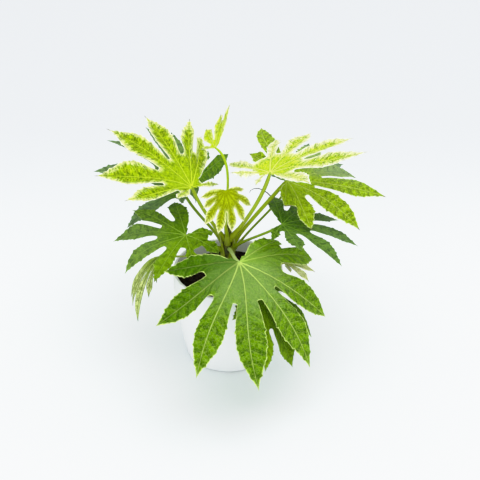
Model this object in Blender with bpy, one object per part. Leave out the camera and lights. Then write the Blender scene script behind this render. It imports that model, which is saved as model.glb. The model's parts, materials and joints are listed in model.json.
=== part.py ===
# Potted Japanese fatsia: a tapered pot, its soil, a short stem and thirteen palmate leaves.
# Units are metres, +Z is up, and the origin is the middle of the pot's flat foot.

import bpy
import bmesh
import numpy as np
from math import atan2, cos, degrees, exp, hypot, pi, radians, sin
from mathutils import Vector, noise

MM = 0.001

# Driving dimensions of the pot
POT_HEIGHT = 118 * MM
POT_TOP_RADIUS = 65 * MM
POT_FOOT_RADIUS = 51 * MM
POT_SHOULDER = 95 * MM         # above this height the wall stands upright
POT_TAPER_POWER = 1.25         # how gently the taper starts under the shoulder
POT_WALL = 3.2 * MM
POT_FLOOR = 6 * MM
POT_FOOT_ROUND = 2 * MM
POT_SIDES = 40

# Driving dimensions of the soil and the stem
GAP = 0.3 * MM                 # clearance between pieces that touch
SOIL_TOP = 101 * MM
SOIL_LUMP = 2.0 * MM
STEM_RADIUS = 6.5 * MM
STEM_BOTTOM = 70 * MM
CROWN_RADIUS = 8 * MM
CROWN_HEIGHT = 146 * MM
CROWN_TOP = 160 * MM
BUD_TIP = 180 * MM
STEM_SIDES = 20

# Driving dimensions that all leaves share
BLADE_THICKNESS = 0.9 * MM
VEIN_LEAN = 0.24               # where the first side vein leaves a lobe's midrib
BASE_GAP = 28                  # degrees from an outer lobe to the notch at the stalk
BASE_REACH = 0.12              # reach of that notch, as a share of the lobe
WIDEST_AT = 0.48               # where a lobe is widest, from its notch to its tip
NECK = 0.62                    # width of a lobe at its notch, as a share of its widest
TOOTH = 0.10                   # how far a tooth stands out, as a share of the width
STALK_RISE = 55                # degrees above level at which a leaf stalk leaves the stem


def plan(name, hub, turn, pitch, roll, lobes, root, stalk, colour, fold=0.22, width=0.115,
         notch=0.37, teeth=True, arrive=None, point=1.25):
    """One leaf as it grows: hub in mm, the blade's turn, pitch and roll in degrees, and each
    lobe as (angle, length in mm, fall, sway), counted against the clock from above. Fall is
    how far the lobe droops and sway how far its midrib bows aside, both in degrees. root is
    the height in mm where the stalk leaves the stem, and stalk its radius in mm. A width or
    a notch given as one number holds for the whole leaf, or else there is one for each.
    arrive is the direction in which the stalk comes into the hub, where it arches over.
    point is how far the lobes draw out into thin tips."""
    widths = width if isinstance(width, list) else [width] * len(lobes)
    notches = notch if isinstance(notch, list) else [notch] * (len(lobes) - 1)
    return dict(name=name, hub=Vector(hub) * MM, turn=turn, pitch=pitch, roll=roll,
                lobes=[(angle, length * MM, fall, sway) for angle, length, fall, sway in lobes],
                root=root * MM, stalk=stalk * MM, colour=colour, fold=fold, widths=widths,
                notches=notches, teeth=teeth, arrive=arrive, point=point)


MID_GREEN = (0.10, 0.24, 0.03)
DARK_GREEN = (0.05, 0.15, 0.02)
FRESH_GREEN = (0.19, 0.38, 0.02)
YELLOW_GREEN = (0.50, 0.62, 0.05)
PALE_GREEN = (0.42, 0.52, 0.14)
RISE = 8                       # degrees a blade rises from its hub before it falls

LEAVES = [
    plan("leaf_front", (13, -56, 163), -59, -30, -7,
         [(-103, 90, 36, 2), (-73, 130, 37, 2), (-44, 153, 35, -4), (-16, 153, 34, -5),
          (15, 146, 39, 2), (46, 127, 40, -1), (84, 117, 41, 2), (103, 69, 25, 2)],
         root=142, stalk=2.0, colour=MID_GREEN,
         width=[0.13, 0.105, 0.108, 0.114, 0.118, 0.135, 0.125, 0.14],
         notch=[0.44, 0.435, 0.38, 0.35, 0.36, 0.42, 0.68]),
    plan("leaf_front_lower", (26, -55, 134), -56, -25, -18,
         [(-91, 51, 34, 0), (-54, 72, 18, 7), (-19, 113, 39, 0), (4, 110, 41, -3),
          (41, 103, 44, 0), (75, 93, 47, -2)],
         root=119, stalk=2.0, colour=DARK_GREEN,
         width=[0.115, 0.09, 0.09, 0.14, 0.115, 0.115], notch=[0.37, 0.37, 0.57, 0.37, 0.37]),
    plan("leaf_left", (-48, -18, 175), 225, -11, -3,
         [(-122, 77, 34, 0), (-80, 78, 8, -4), (-56, 93, 37, -3), (-19, 85, 44, -8),
          (15, 75, 32, 0), (56, 45, 42, 0), (101, 47, 40, 0), (142, 32, 25, 0)],
         root=136, stalk=1.9, point=1.45, colour=DARK_GREEN,
         width=[0.13, 0.115, 0.115, 0.115, 0.115, 0.115, 0.15, 0.20],
         notch=[0.34, 0.37, 0.37, 0.37, 0.37, 0.58, 0.68]),
    plan("leaf_left_young", (-80, 0, 134), -141, -41, 15,
         [(-28, 74, 50, 5), (-16, 76, 51, 0), (4, 85, 52, 0), (25, 53, 32, 0), (38, 36, 31, 0)],
         root=120, stalk=1.3, colour=PALE_GREEN, width=0.105, notch=0.30, teeth=False),
    plan("leaf_top_left", (-41, 9, 223), 140, 27, 8,
         [(-104, 44, 26, -1), (-55, 97, 17, -1), (-42, 102, -1, 2), (-15, 115, 16, 0),
          (14, 121, 21, -1), (45, 115, 42, 4), (72, 90, 33, 3), (98, 34, 14, 0)],
         root=151, stalk=2.2, point=1.7, colour=YELLOW_GREEN,
         width=[0.07, 0.10, 0.10, 0.11, 0.118, 0.145, 0.12, 0.16],
         notch=[0.22, 0.55, 0.43, 0.36, 0.37, 0.37, 0.37]),
    plan("leaf_back_left", (-54, 64, 186), 139, 32, 10,
         [(-133, 30, 73, 2), (-81, 114, 15, 0), (-69, 98, 20, 0), (-38, 100, 22, 1),
          (-17, 103, 22, -3), (13, 113, 36, -4), (49, 114, 30, -4), (86, 91, 88, 0),
          (129, 24, 10, 0)],
         root=139, stalk=1.9, colour=DARK_GREEN,
         width=[0.115, 0.09, 0.07, 0.10, 0.06, 0.065, 0.09, 0.078, 0.115]),
    plan("leaf_top_young", (-14, 30, 263), 74, 22, -22,
         [(-13, 55, -15, 2), (5, 48, 3, 0), (35, 34, 1, 1), (84, 22, 27, -2)],
         root=157, stalk=1.6, colour=PALE_GREEN, width=[0.07, 0.105, 0.24, 0.12],
         notch=[0.70, 0.30, 0.30], teeth=False, arrive=(-0.8, 0, 0.6)),
    plan("leaf_centre_young", (-2, -20, 236), -62, -59, -11,
         [(-90, 36, 14, -3), (-71, 38, 13, -3), (-52, 50, 15, -3), (-28, 51, 17, -3),
          (-5, 48, 22, 2), (22, 44, 26, 4), (51, 40, 24, 2), (81, 26, 20, 1)],
         root=158, stalk=1.2, colour=PALE_GREEN, width=0.125, notch=0.50, teeth=False),
    plan("leaf_top_right", (48, -12, 254), 71, 6, -19,
         [(-116, 66, 22, 2), (-83, 118, 13, -5), (-49, 106, 26, -5), (-12, 95, 26, -3),
          (16, 99, 30, -1), (60, 80, 22, 6), (91, 49, -1, 0), (128, 22, 51, 0)],
         root=154, stalk=2.4, point=1.6, colour=YELLOW_GREEN,
         width=[0.13, 0.112, 0.124, 0.125, 0.065, 0.10, 0.10, 0.30]),
    plan("leaf_right", (68, 17, 227), 18, -8, 9,
         [(-111, 45, 25, 0), (-82, 75, 40, -3), (-48, 104, 34, 2), (-15, 120, 21, 0),
          (15, 111, 39, 0), (48, 108, 33, 0), (86, 119, 26, 6), (115, 65, 23, 0)],
         root=144, stalk=2.4, colour=FRESH_GREEN,
         width=[0.13, 0.135, 0.13, 0.128, 0.125, 0.11, 0.095, 0.19],
         notch=[0.74, 0.37, 0.29, 0.37, 0.37, 0.37, 0.37]),
    plan("leaf_right_lower", (62, -30, 197), -3, -8, -5,
         [(-106, 41, 22, 0), (-72, 70, 7, 0), (-34, 88, 38, 0), (0, 92, 33, 0), (34, 82, 26, 0),
          (67, 85, 27, 0), (100, 82, 24, 0)],
         root=140, stalk=1.6, point=1.45, colour=DARK_GREEN,
         width=[0.115, 0.12, 0.11, 0.11, 0.105, 0.115, 0.115]),
    plan("leaf_right_young", (66, -15, 134), -13, -16, -7,
         [(-53, 18, 23, 0), (-18, 37, 34, 0), (19, 40, 26, 0), (55, 40, 32, 0)],
         root=114, stalk=1.2, colour=PALE_GREEN, width=0.16, notch=0.36, teeth=False),
    plan("leaf_back_right", (75, 70, 192), 61, 18, 4,
         [(-74, 30, 30, 0), (-34, 75, 32, 0), (8, 73, 23, 0), (39, 64, 31, 0), (73, 49, 28, 0)],
         root=128, stalk=1.5, colour=DARK_GREEN),
]

# Rows of points along a lobe from its notch (0) to its tip (1), with the tooth's push
TOOTHED_ROWS = [(0.07, 0), (0.22, 0), (0.36, 1), (0.42, -1), (0.56, 1), (0.62, -1), (0.76, 1),
                (0.82, -1), (1.0, 0)]
SMOOTH_ROWS = [(0.08, 0), (0.30, 0), (0.55, 0), (0.80, 0), (1.0, 0)]


def clear_scene():
    for thing in list(bpy.data.objects):
        bpy.data.objects.remove(thing, do_unlink=True)


def finish(name, colour, roughness):
    """A plain coat of one colour for a sub-part."""
    coat = bpy.data.materials.new(name)
    coat.use_nodes = True
    shader = coat.node_tree.nodes["Principled BSDF"]
    shader.inputs["Base Color"].default_value = (*colour, 1)
    shader.inputs["Roughness"].default_value = roughness
    shader.inputs["Metallic"].default_value = 0
    return coat


def new_object(name, shape, coat):
    """Turns a bmesh into a named object in the scene."""
    mesh = bpy.data.meshes.new(name)
    shape.to_mesh(mesh)
    shape.free()
    piece = bpy.data.objects.new(name, mesh)
    bpy.context.collection.objects.link(piece)
    mesh.materials.append(coat)
    return piece


def turned(outline, sides):
    """A solid turned round Z from an outline of (radius, height) that starts and ends on it."""
    shape = bmesh.new()
    points = [shape.verts.new((radius, 0, height)) for radius, height in outline]
    edges = [shape.edges.new(pair) for pair in zip(points, points[1:])]
    bmesh.ops.spin(shape, geom=points + edges, cent=(0, 0, 0), axis=(0, 0, 1), angle=2 * pi,
                   steps=sides, use_merge=True)
    bmesh.ops.remove_doubles(shape, verts=shape.verts, dist=1e-6)
    bmesh.ops.recalc_face_normals(shape, faces=shape.faces)
    return shape


def pot_radius(height):
    """Outer radius of the pot's wall: upright above the shoulder, tapering to the foot."""
    drop = max(POT_SHOULDER - height, 0) / POT_SHOULDER
    return POT_TOP_RADIUS - (POT_TOP_RADIUS - POT_FOOT_RADIUS) * drop ** POT_TAPER_POWER


def pot_outline():
    lip = POT_WALL / 2
    bevel = 0.3 * POT_FOOT_ROUND
    outside = [(0, 0), (POT_FOOT_RADIUS - POT_FOOT_ROUND, 0), (POT_FOOT_RADIUS - bevel, bevel)]
    levels = np.linspace(POT_FOOT_ROUND, POT_SHOULDER, 6)
    outside += [(pot_radius(level), level) for level in levels]
    crest = [(POT_TOP_RADIUS - lip + lip * cos(turn), POT_HEIGHT - lip + lip * sin(turn))
             for turn in np.linspace(0, pi, 5)]
    inside = [(pot_radius(level) - POT_WALL, level) for level in levels[::-1][:-1]]
    inner_foot = pot_radius(POT_FLOOR) - POT_WALL
    return outside + crest + inside + [(inner_foot, POT_FLOOR), (0, POT_FLOOR)]


def stem_outline(extra=0.0):
    """Outline of the stem from its foot to the bud's tip, made thicker all round by extra."""
    return [(0, STEM_BOTTOM - extra), (STEM_RADIUS + extra, STEM_BOTTOM - extra),
            (STEM_RADIUS + extra, SOIL_TOP + 8 * MM), (CROWN_RADIUS + extra, CROWN_HEIGHT - 14 * MM),
            (CROWN_RADIUS + extra, CROWN_HEIGHT), (5.5 * MM + extra, CROWN_TOP),
            (3.6 * MM + extra, CROWN_TOP + 6 * MM), (2.0 * MM + extra, BUD_TIP - 7 * MM),
            (0, BUD_TIP + 2 * extra)]


def soil_outline():
    """The fill follows the pot's inner wall, and has a plain hole that takes the stem."""
    inner = POT_WALL + GAP
    levels = np.linspace(POT_FLOOR + GAP, SOIL_TOP, 6)
    wall = [(pot_radius(level) - inner, level) for level in levels]
    rings = [(radius, SOIL_TOP) for radius in np.linspace(wall[-1][0], STEM_RADIUS + GAP, 9)[1:]]
    hole_floor = STEM_BOTTOM - GAP
    return [(0, POT_FLOOR + GAP)] + wall + rings + [(STEM_RADIUS + GAP, hole_floor), (0, hole_floor)]


def make_pot():
    shape = turned(pot_outline(), POT_SIDES)
    return new_object("pot", shape, finish("white glaze", (0.86, 0.87, 0.88), 0.25))


def make_soil():
    shape = turned(soil_outline(), 32)
    edge = pot_radius(SOIL_TOP) - POT_WALL - GAP
    for point in shape.verts:
        reach = hypot(point.co.x, point.co.y)
        on_top = abs(point.co.z - SOIL_TOP) < 1e-6
        if on_top and STEM_RADIUS + 2 * GAP < reach < edge - GAP:
            point.co.z += SOIL_LUMP * noise.noise(point.co * 90)
    return new_object("soil", shape, finish("peat", (0.03, 0.02, 0.015), 0.95))


def make_stem():
    shape = turned(stem_outline(), STEM_SIDES)
    return new_object("stem", shape, finish("green bark", (0.20, 0.22, 0.06), 0.6))


def blade_axes(leaf):
    """The blade's heading, its left side and its upper face as three unit vectors."""
    turn, pitch, roll = radians(leaf["turn"]), radians(leaf["pitch"]), radians(leaf["roll"])
    heading = Vector((cos(turn) * cos(pitch), sin(turn) * cos(pitch), sin(pitch)))
    level_left = Vector((-sin(turn), cos(turn), 0))
    level_up = heading.cross(level_left)
    left = level_left * cos(roll) + level_up * sin(roll)
    up = level_up * cos(roll) - level_left * sin(roll)
    return heading, left, up


def between_lobes(leaf, angle, values):
    """A value that each lobe has one of, eased from lobe to lobe as the angle goes round."""
    angles = [lobe[0] for lobe in leaf["lobes"]]
    if angle <= angles[0]:
        return values[0]
    for low, high, value_low, value_high in zip(angles, angles[1:], values, values[1:]):
        if angle <= high:
            ease = (angle - low) / (high - low)
            ease = ease * ease * (3 - 2 * ease)
            return value_low + (value_high - value_low) * ease
    return values[-1]


def on_blade(leaf, lobe, along, aside):
    """A point of the flat leaf, along a lobe's midrib and aside from it, set on the arched blade."""
    heading, left, up = leaf["axes"]
    lobes = leaf["lobes"]
    angle = lobes[lobe][0] + degrees(atan2(aside, along))
    reach = hypot(along, aside)
    bend = radians(between_lobes(leaf, angle, [fall / length for _, length, fall, _ in lobes]))
    bend = bend if abs(bend) > 1e-6 else 1e-6
    length = between_lobes(leaf, angle, [length for _, length, _, _ in lobes])
    sway = between_lobes(leaf, angle, [sway for *_, sway in lobes])
    angle += sway * sin(pi * min(reach / length, 1))
    rise = radians(RISE)
    slope = rise - bend * reach
    out = heading * cos(radians(angle)) + left * sin(radians(angle))
    normal = up * cos(slope) - out * sin(slope)
    arched = out * (sin(rise) - sin(slope)) / bend + up * (cos(slope) - cos(rise)) / bend
    return leaf["hub"] + arched + normal * (leaf["fold"] * abs(aside))


def lobe_half_width(widest, notch_width, step, point):
    """Half width of a lobe at step, from its notch (0) to its tip (1)."""
    if step < WIDEST_AT:
        share = NECK + (1 - NECK) * sin(0.5 * pi * step / WIDEST_AT)
    else:
        share = max(cos(0.5 * pi * (step - WIDEST_AT) / (1 - WIDEST_AT)), 0.0) ** point
    return widest * share + (notch_width - NECK * widest) * exp(-step / 0.05)


def notch_lines(leaf):
    """Angle and reach of each notch: one before the first lobe, between lobes, after the last."""
    lobes = leaf["lobes"]
    lines = [(lobes[0][0] - BASE_GAP, BASE_REACH * lobes[0][1])]
    for first, second, share in zip(lobes, lobes[1:], leaf["notches"]):
        lines.append((0.5 * (first[0] + second[0]), share * 0.5 * (first[1] + second[1])))
    lines.append((lobes[-1][0] + BASE_GAP, BASE_REACH * lobes[-1][1]))
    return lines


def blade_surface(leaf):
    """The blade's middle surface in triangles that fan from the midribs to the lobed edge."""
    rows = TOOTHED_ROWS if leaf["teeth"] else SMOOTH_ROWS
    shape = bmesh.new()
    hub = shape.verts.new(leaf["hub"])
    lines = notch_lines(leaf)
    notches = []
    for number, (angle, reach) in enumerate(lines):
        lobe = min(number, len(leaf["lobes"]) - 1)
        off = radians(angle - leaf["lobes"][lobe][0])
        notches.append(shape.verts.new(on_blade(leaf, lobe, reach * cos(off), reach * sin(off))))
    for lobe, (angle, length, _, _) in enumerate(leaf["lobes"]):
        start = VEIN_LEAN * length
        widest = leaf["widths"][lobe] * length
        steps = [0.0] + [step for step, _ in rows]
        rib = [shape.verts.new(on_blade(leaf, lobe, start + (length - start) * step, 0.0))
               for step in steps]
        for side in (-1, 1):
            line = lobe + (side + 1) // 2
            off = radians(abs(lines[line][0] - angle))
            notch_along = lines[line][1] * cos(off)
            notch_width = lines[line][1] * sin(off)
            edge = [notches[line]]
            for step, push in rows[:-1]:
                width = lobe_half_width(widest, notch_width, step, leaf["point"])
                width *= 1 + TOOTH * push
                along = notch_along + (length - notch_along) * step
                edge.append(shape.verts.new(on_blade(leaf, lobe, along, side * width)))
            edge.append(rib[-1])
            triangles = [(hub, rib[0], edge[0])]
            for row in range(len(rows)):
                triangles.append((rib[row], rib[row + 1], edge[row]))
                if row < len(rows) - 1:
                    triangles.append((edge[row], rib[row + 1], edge[row + 1]))
            for first, second, third in triangles:
                corners = (first, second, third) if side > 0 else (first, third, second)
                shape.faces.new(corners)
    return shape


def stalk_route(leaf, count=8):
    """Points of the leaf stalk, a curve that leaves the stem steeply and meets the hub from below."""
    root = Vector((0, 0, leaf["root"]))
    hub = leaf["hub"]
    heading, _, up = leaf["axes"]
    straight = (hub - root).normalized()
    level = Vector((hub.x, hub.y, 0)).normalized()
    leave = level * cos(radians(STALK_RISE)) + Vector((0, 0, sin(radians(STALK_RISE))))
    arrive = Vector(leaf["arrive"] or straight + 0.3 * heading + 0.5 * up).normalized()
    span = (hub - root).length
    handles = (root, root + leave * span * 0.3, hub - arrive * span * 0.3, hub)
    points = []
    for number in range(count + 1):
        step = number / count
        first = handles[0].lerp(handles[1], step)
        second = handles[1].lerp(handles[2], step)
        third = handles[2].lerp(handles[3], step)
        points.append(first.lerp(second, step).lerp(second.lerp(third, step), step))
    return points


def stalk_thickness(step):
    """A stalk is swollen where it clasps the stem, and thins out where it enters the blade."""
    return 1 + 0.7 * exp(-step / 0.10) - 0.5 * max(step - 0.88, 0) / 0.12


def make_stalk(leaf):
    """The leaf stalk as a round rod with closed ends."""
    route = stalk_route(leaf)
    curve = bpy.data.curves.new(leaf["name"] + "_stalk", "CURVE")
    curve.dimensions = "3D"
    curve.bevel_depth = leaf["stalk"]
    curve.bevel_resolution = 2
    curve.use_fill_caps = True
    line = curve.splines.new("POLY")
    line.points.add(len(route) - 1)
    for number, (target, place) in enumerate(zip(line.points, route)):
        target.co = (*place, 1)
        target.radius = stalk_thickness(number / (len(route) - 1))
    rod = bpy.data.objects.new(leaf["name"] + "_stalk", curve)
    bpy.context.collection.objects.link(rod)
    return rod


def settle(piece):
    """Replaces a piece's mesh by what its modifiers make of it."""
    made = piece.evaluated_get(bpy.context.evaluated_depsgraph_get())
    mesh = bpy.data.meshes.new_from_object(made)
    piece.modifiers.clear()
    piece.data = mesh


def combine(piece, tool, operation):
    boolean = piece.modifiers.new(operation.lower(), "BOOLEAN")
    boolean.operation = operation
    boolean.object = tool
    settle(piece)


def make_leaf(leaf, stem_sleeve):
    """One leaf: an arched blade, grown together with its stalk, that stops short of the stem."""
    leaf["axes"] = blade_axes(leaf)
    piece = new_object(leaf["name"], blade_surface(leaf), finish(leaf["name"], leaf["colour"], 0.4))
    thickness = piece.modifiers.new("thickness", "SOLIDIFY")
    thickness.thickness = BLADE_THICKNESS
    thickness.offset = 0
    settle(piece)
    rod = make_stalk(leaf)
    rod_mesh = bpy.data.objects.new("rod", bpy.data.meshes.new_from_object(
        rod.evaluated_get(bpy.context.evaluated_depsgraph_get())))
    bpy.context.collection.objects.link(rod_mesh)
    bpy.data.objects.remove(rod)
    combine(rod_mesh, stem_sleeve, "DIFFERENCE")
    combine(piece, rod_mesh, "UNION")
    bpy.data.objects.remove(rod_mesh)
    return piece


def build():
    clear_scene()
    make_pot()
    make_soil()
    make_stem()
    sleeve = new_object("sleeve", turned(stem_outline(GAP), STEM_SIDES), finish("sleeve", (1, 1, 1), 1))
    for leaf in LEAVES:
        make_leaf(leaf, sleeve)
    bpy.data.objects.remove(sleeve)


build()
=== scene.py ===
# %% [markdown]
# # Dressing a potted fatsia
# The object is a young Japanese fatsia in a plain white pot: thirteen hand-shaped leaves on
# long stalks, a short stem and dark potting soil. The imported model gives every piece's size
# and place. This lesson gives each piece its true surface: cut and puckered leaf blades,
# glazed ceramic and crumbly peat.

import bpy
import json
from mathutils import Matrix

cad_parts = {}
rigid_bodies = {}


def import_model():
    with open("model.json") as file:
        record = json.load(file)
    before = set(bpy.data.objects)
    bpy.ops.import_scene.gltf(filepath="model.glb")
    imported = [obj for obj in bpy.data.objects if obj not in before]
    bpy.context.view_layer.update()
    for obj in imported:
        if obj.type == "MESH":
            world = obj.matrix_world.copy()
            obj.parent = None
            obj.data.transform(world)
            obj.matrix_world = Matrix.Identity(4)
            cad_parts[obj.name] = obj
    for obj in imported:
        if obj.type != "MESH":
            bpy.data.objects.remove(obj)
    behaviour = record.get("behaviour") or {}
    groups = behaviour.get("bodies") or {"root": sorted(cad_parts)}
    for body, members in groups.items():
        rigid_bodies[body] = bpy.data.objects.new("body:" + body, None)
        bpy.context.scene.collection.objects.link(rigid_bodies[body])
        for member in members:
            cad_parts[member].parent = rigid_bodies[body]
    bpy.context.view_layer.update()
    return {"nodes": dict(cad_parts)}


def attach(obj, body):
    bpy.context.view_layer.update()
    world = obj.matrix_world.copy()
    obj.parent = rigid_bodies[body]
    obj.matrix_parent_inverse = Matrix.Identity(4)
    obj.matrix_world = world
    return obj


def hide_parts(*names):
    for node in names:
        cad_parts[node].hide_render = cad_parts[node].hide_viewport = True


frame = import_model()
print("pieces in the frame:", len(frame["nodes"]))

# %% [markdown]
# ## Tools and units
# Everything is in metres, so a millimetre gets a name of its own. An operator works on all
# that is selected, so small helpers clear the selection or set it to a few pieces.

# %% Units and selection
import json
import bpy
import numpy as np
from math import cos, exp, pi, radians, sin
from mathutils import Vector

MM = 0.001


def deselect_all():
    for thing in bpy.context.view_layer.objects:
        thing.select_set(False)


def select_only(*things):
    deselect_all()
    for thing in things:
        thing.select_set(True)
    bpy.context.view_layer.objects.active = things[0]


deselect_all()
print("one millimetre is", MM)

# %% [markdown]
# ## The photographer's stand
# A long lens some 1.6 m away looks down on the plant at 33 degrees. It sees only floor behind
# the pot, so the floor is one wide pale sheet. A bright, even sky and one large lamp high above,
# with a faint one in front, give the pale, almost shadowless light of a product photograph.
# A camera does not cut its brightest tones off, it bends them softly towards white, and leaves
# under a pale sky keep their colour that way. The bend is drawn with a handful of knots.

# %% Camera, lamps and floor
LOOK_DOWN = 33
FLOOR_DROP = 0.5 * MM

view = bpy.data.cameras.new("camera")
view.lens = 100
view.sensor_width = 36
camera = bpy.data.objects.new("camera", view)
camera.location = (0.0142, -1.308, 1.006)
camera.rotation_euler = (radians(90 - LOOK_DOWN), 0, 0)
bpy.context.scene.collection.objects.link(camera)
bpy.context.scene.camera = camera

# A camera's tone curve: straight up to a bright grey, then a soft shoulder towards white.
WHITE_LEVEL = 1.4
SHOULDER = [(0.45, 0.45), (0.60, 0.63), (0.75, 0.785), (0.90, 0.87), (1.05, 0.935), (1.20, 0.965),
            (1.40, 0.98)]
looks = bpy.context.scene.view_settings
looks.view_transform = "Standard"
looks.use_curve_mapping = True
looks.curve_mapping.white_level = (WHITE_LEVEL,) * 3
tone_curve = looks.curve_mapping.curves[3]
tone_curve.points[1].location = (1.0, SHOULDER[-1][1])
for light_in, light_out in SHOULDER[:-1]:
    tone_curve.points.new(light_in / WHITE_LEVEL, light_out)
for knot in tone_curve.points[:2]:
    knot.handle_type = "VECTOR"
looks.curve_mapping.update()

sky = bpy.data.worlds.new("soft sky")
sky.use_nodes = True
glow = sky.node_tree.nodes["Background"].inputs
glow["Color"].default_value = (0.955, 0.98, 1.0, 1)
glow["Strength"].default_value = 0.925
bpy.context.scene.world = sky


def soft_lamp(name, place, size, watts, tint):
    """A square lamp that faces the middle of the plant."""
    light = bpy.data.lights.new(name, "AREA")
    light.size = size
    light.energy = watts
    light.color = tint
    lamp = bpy.data.objects.new(name, light)
    lamp.location = place
    lamp.rotation_euler = (Vector(place) - Vector((0, 0, 0.15))).to_track_quat("Z", "Y").to_euler()
    bpy.context.scene.collection.objects.link(lamp)


soft_lamp("overhead lamp", (0.5, -0.6, 4.0), 3.0, 55, (0.99, 0.995, 1.0))
soft_lamp("front lamp", (-0.2, -2.2, 0.5), 1.6, 9, (0.94, 0.97, 1.0))

bpy.ops.mesh.primitive_plane_add(size=12, location=(0, 0, -FLOOR_DROP))
floor = bpy.context.object
floor.name = "floor"
print("camera at", tuple(round(value, 3) for value in camera.location))

# %% [markdown]
# ## Writing materials as arithmetic
# A material is a chain of small nodes. Wiring them one by one is hard to read, so the class
# below wraps one output socket. Adding or multiplying two of them adds the Math node that does
# it, and `node` adds any other node: first its settings, then the values or links of its
# sockets.

# %% A wire that knows arithmetic
class Wire:
    """One output of a material's nodes, which can be used in plain arithmetic."""

    def __init__(self, tree, socket=None):
        self.tree = tree
        self.socket = socket

    def node(self, kind, settings=None, sockets=None, out=0):
        made = self.tree.nodes.new("ShaderNode" + kind)
        for name, value in (settings or {}).items():
            setattr(made, name, value)
        for name, value in (sockets or {}).items():
            if isinstance(value, Wire):
                self.tree.links.new(value.socket, made.inputs[name])
            else:
                made.inputs[name].default_value = value
        return Wire(self.tree, made.outputs[out])

    def maths(self, operation, first, second=0.0):
        return self.node("Math", {"operation": operation}, {0: first, 1: second})

    def __add__(self, other):
        return self.maths("ADD", self, other)

    def __radd__(self, other):
        return self.maths("ADD", other, self)

    def __sub__(self, other):
        return self.maths("SUBTRACT", self, other)

    def __rsub__(self, other):
        return self.maths("SUBTRACT", other, self)

    def __mul__(self, other):
        return self.maths("MULTIPLY", self, other)

    def __rmul__(self, other):
        return self.maths("MULTIPLY", other, self)

    def fraction(self):
        return self.maths("FRACT", self)

    def size(self):
        return self.maths("ABSOLUTE", self)

    def rises(self, start, end):
        """0 below start, 1 above end, with a soft step between them."""
        return self.node("MapRange", {"interpolation_type": "SMOOTHSTEP"},
                         {"Value": self, "From Min": start, "From Max": end})

    def mixed(self, under, over):
        """One colour laid over another, where this wire is 1. A plain one is a screen colour."""
        under, over = (paint(*tone) if isinstance(tone, tuple) else tone for tone in (under, over))
        return self.node("Mix", {"data_type": "RGBA"}, {0: self, 6: under, 7: over}, out=2)

    def layered(self, amount, under, over):
        """A colour over another where this wire and the given amount say so."""
        return (self * amount).mixed(under, over)

    def noise(self, scale, detail=2.0, roughness=0.5):
        """Soft clouds over a place, that many to the metre."""
        return self.node("TexNoise", {}, {"Vector": self, "Scale": scale, "Detail": detail,
                                          "Roughness": roughness})

    def cells(self, scale, out="Color"):
        """A mosaic of angular patches: a chance number for each, or how near its middle is."""
        made = self.node("TexVoronoi", {}, {"Vector": self, "Scale": scale}, out=out)
        return made.node("SeparateColor", {}, {0: made}) if out == "Color" else made

    def given(self, name):
        """A number that the mesh carries for each of its points."""
        return self.node("Attribute", {"attribute_name": name}, out="Fac")

    def axis(self, number):
        """One coordinate of a place: 0 is x, 1 is y, 2 is z."""
        return self.node("SeparateXYZ", {}, {0: self}, out=number)

    def relief(self, distance):
        """Shading that follows this wire, as a height in units of distance in metres."""
        return self.node("Bump", {}, {"Strength": 1.0, "Distance": distance, "Height": self})


def paint(red, green, blue):
    """A screen colour, from 0 to 255, as the linear colour that shaders work in."""
    shares = [value / 255 for value in (red, green, blue)]
    linear = [share / 12.92 if share <= 0.04045 else ((share + 0.055) / 1.055) ** 2.4
              for share in shares]
    return (*linear, 1.0)


def new_coat(name, **fixed):
    """A new material with its shader's fixed values set, a wire to start nodes from, and the
    place of a point on the object, in metres."""
    coat = bpy.data.materials.new(name)
    coat.use_nodes = True
    shader = coat.node_tree.nodes["Principled BSDF"]
    for socket, value in fixed.items():
        shader.inputs[socket.replace("_", " ")].default_value = value
    wire = Wire(coat.node_tree)
    return coat, wire, wire.node("TexCoord", out="Object")


def finish_coat(coat, tone, roughness=None, normal=None):
    """Leads the finished wires of a coat into its shader."""
    shader = coat.node_tree.nodes["Principled BSDF"]
    for socket, wire in (("Base Color", tone), ("Roughness", roughness), ("Normal", normal)):
        if wire is not None:
            coat.node_tree.links.new(wire.socket, shader.inputs[socket])
    return coat


def wear(piece, *coats):
    """Takes the old coats off a piece and lays the given ones on."""
    piece.data.materials.clear()
    for coat in coats:
        piece.data.materials.append(coat)


print("a mid green is", tuple(round(value, 3) for value in paint(100, 150, 40)))

# %% [markdown]
# ## Floor, glaze, peat and bark
# The floor is nearly white paper. The pot's glaze is glossy and white, but never perfectly
# even: its surface has the faint ripple of a fired coat, and its tone drifts a little. Peat is
# almost black, with brown fibres and pale grains. The stem's bark is dark olive with corky
# freckles, and the sheaths that clasp it are greener, with thin brown edges. A dried lobe tip is
# grey-brown and crumpled. Each coat is noise at two or three sizes: a broad one for the drift of
# the tone, a fine one for grain.

# %% Coats of the plain pieces
def floor_coat():
    coat, _, place = new_coat("pale floor", Roughness=0.9, Specular_IOR_Level=0.1)
    tone = place.noise(1.2).mixed((243, 246, 248), (246, 249, 251))
    # Further back the floor is painted darker, a painted shade where the overhead lamp's light
    # falls off.
    return finish_coat(coat, place.axis(1).rises(0.08, 0.62).mixed(tone, (227, 230, 233)))


def glaze_coat():
    coat, _, place = new_coat("white glaze", Specular_IOR_Level=0.5, Coat_Weight=0.35,
                              Coat_Roughness=0.12)
    drift = place.noise(28, 3)
    ripple = place.noise(320, 2)
    fleck = place.noise(1500, 1).rises(0.74, 0.80)
    tone = drift.mixed((237, 238, 239), (243, 243, 243))
    tone = fleck.layered(0.25, tone, (200, 199, 195))
    return finish_coat(coat, tone, 0.24 + 0.12 * drift, (ripple + 2 * drift).relief(0.00012))


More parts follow.
